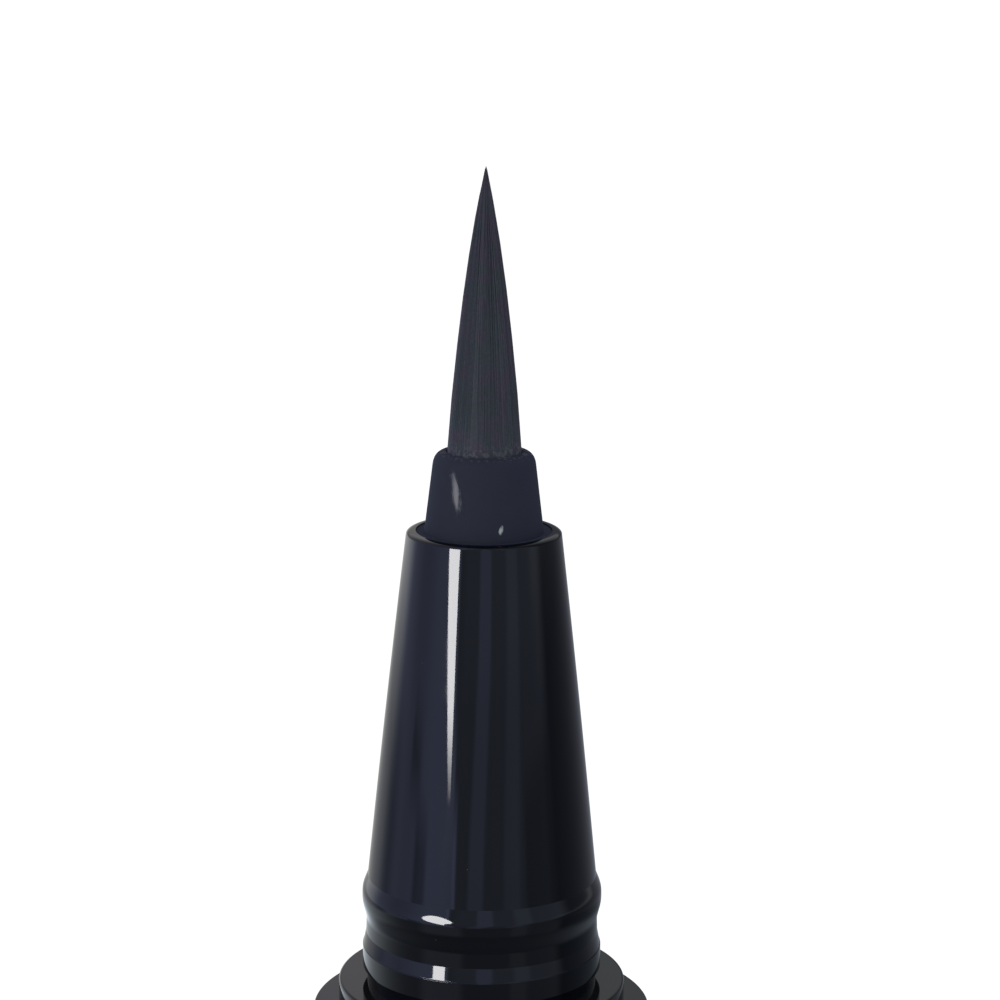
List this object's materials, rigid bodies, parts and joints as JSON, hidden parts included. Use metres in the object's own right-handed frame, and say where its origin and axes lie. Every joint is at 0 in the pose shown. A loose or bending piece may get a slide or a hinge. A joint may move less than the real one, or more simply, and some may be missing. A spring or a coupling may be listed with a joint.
{
  "type": "liquid eyeliner pen",
  "caption": "Slim liquid eyeliner pen with a pointed brush in a stepped nose cone, an ink feed and tank inside the barrel, and a snap cap pushed onto the tail.",
  "frame": {"origin": "middle of the cap's closed end, the face that the pen stands on", "axes": "+Z along the pen from the posted cap to the tip of the brush; the pen is round, so X and Y are free"},
  "size_m": [0.0094, 0.0094, 0.1496],
  "materials": {
    "bristles": "charcoal nylon filaments, fine lengthwise streaks",
    "collar_plastic": "satin gloss, navy black",
    "nose_plastic": "high gloss, black with a navy cast",
    "barrel_plastic": "high gloss, navy black",
    "liner_plastic": "plain moulded black",
    "feed_plastic": "natural moulded polypropylene",
    "clear_plastic": "natural extruded tube",
    "wick_fibre": "bonded polyester fibre",
    "seal_rubber": "matte black elastomer",
    "ball_steel": "polished stainless steel",
    "spring_steel": "drawn stainless wire"
  },
  "bodies": {
    "pen": {"brush_bristles": "bristles", "brush_heel": "bristles", "brush_collar": "collar_plastic", "feed_pipe": "clear_plastic", "relay_wick": "wick_fibre", "nose_cone": "nose_plastic", "nose_seal": "seal_rubber", "front_sleeve": "nose_plastic", "collector": "feed_plastic", "tank_seal": "seal_rubber", "ink_tank": "feed_plastic", "tank_plug": "feed_plastic", "barrel": "barrel_plastic", "tail_plug": "barrel_plastic", "tail_seal": "seal_rubber"},
    "cap": {"cap_shell": "barrel_plastic", "cap_liner": "liner_plastic", "cap_spring": "spring_steel"},
    "inner_cap": {"inner_cap": "feed_plastic"},
    "ball": {"mixing_ball": "ball_steel"}
  },
  "joints": [
    {"name": "cap_slide", "type": "slide", "parent": "pen", "child": "cap", "axis": [0, 0, -1], "range_m": [0, 0.008]},
    {"name": "inner_cap_travel", "type": "slide", "parent": "cap", "child": "inner_cap", "axis": [0, 0, -1], "range_m": [0, 0.002], "stiffness_N_per_m": 150, "springref_m": -0.003, "deforming": ["cap_spring"]},
    {"name": "ball_travel", "type": "slide", "parent": "pen", "child": "ball", "axis": [0, 0, 1], "range_m": [0, 0.047]}
  ]
}
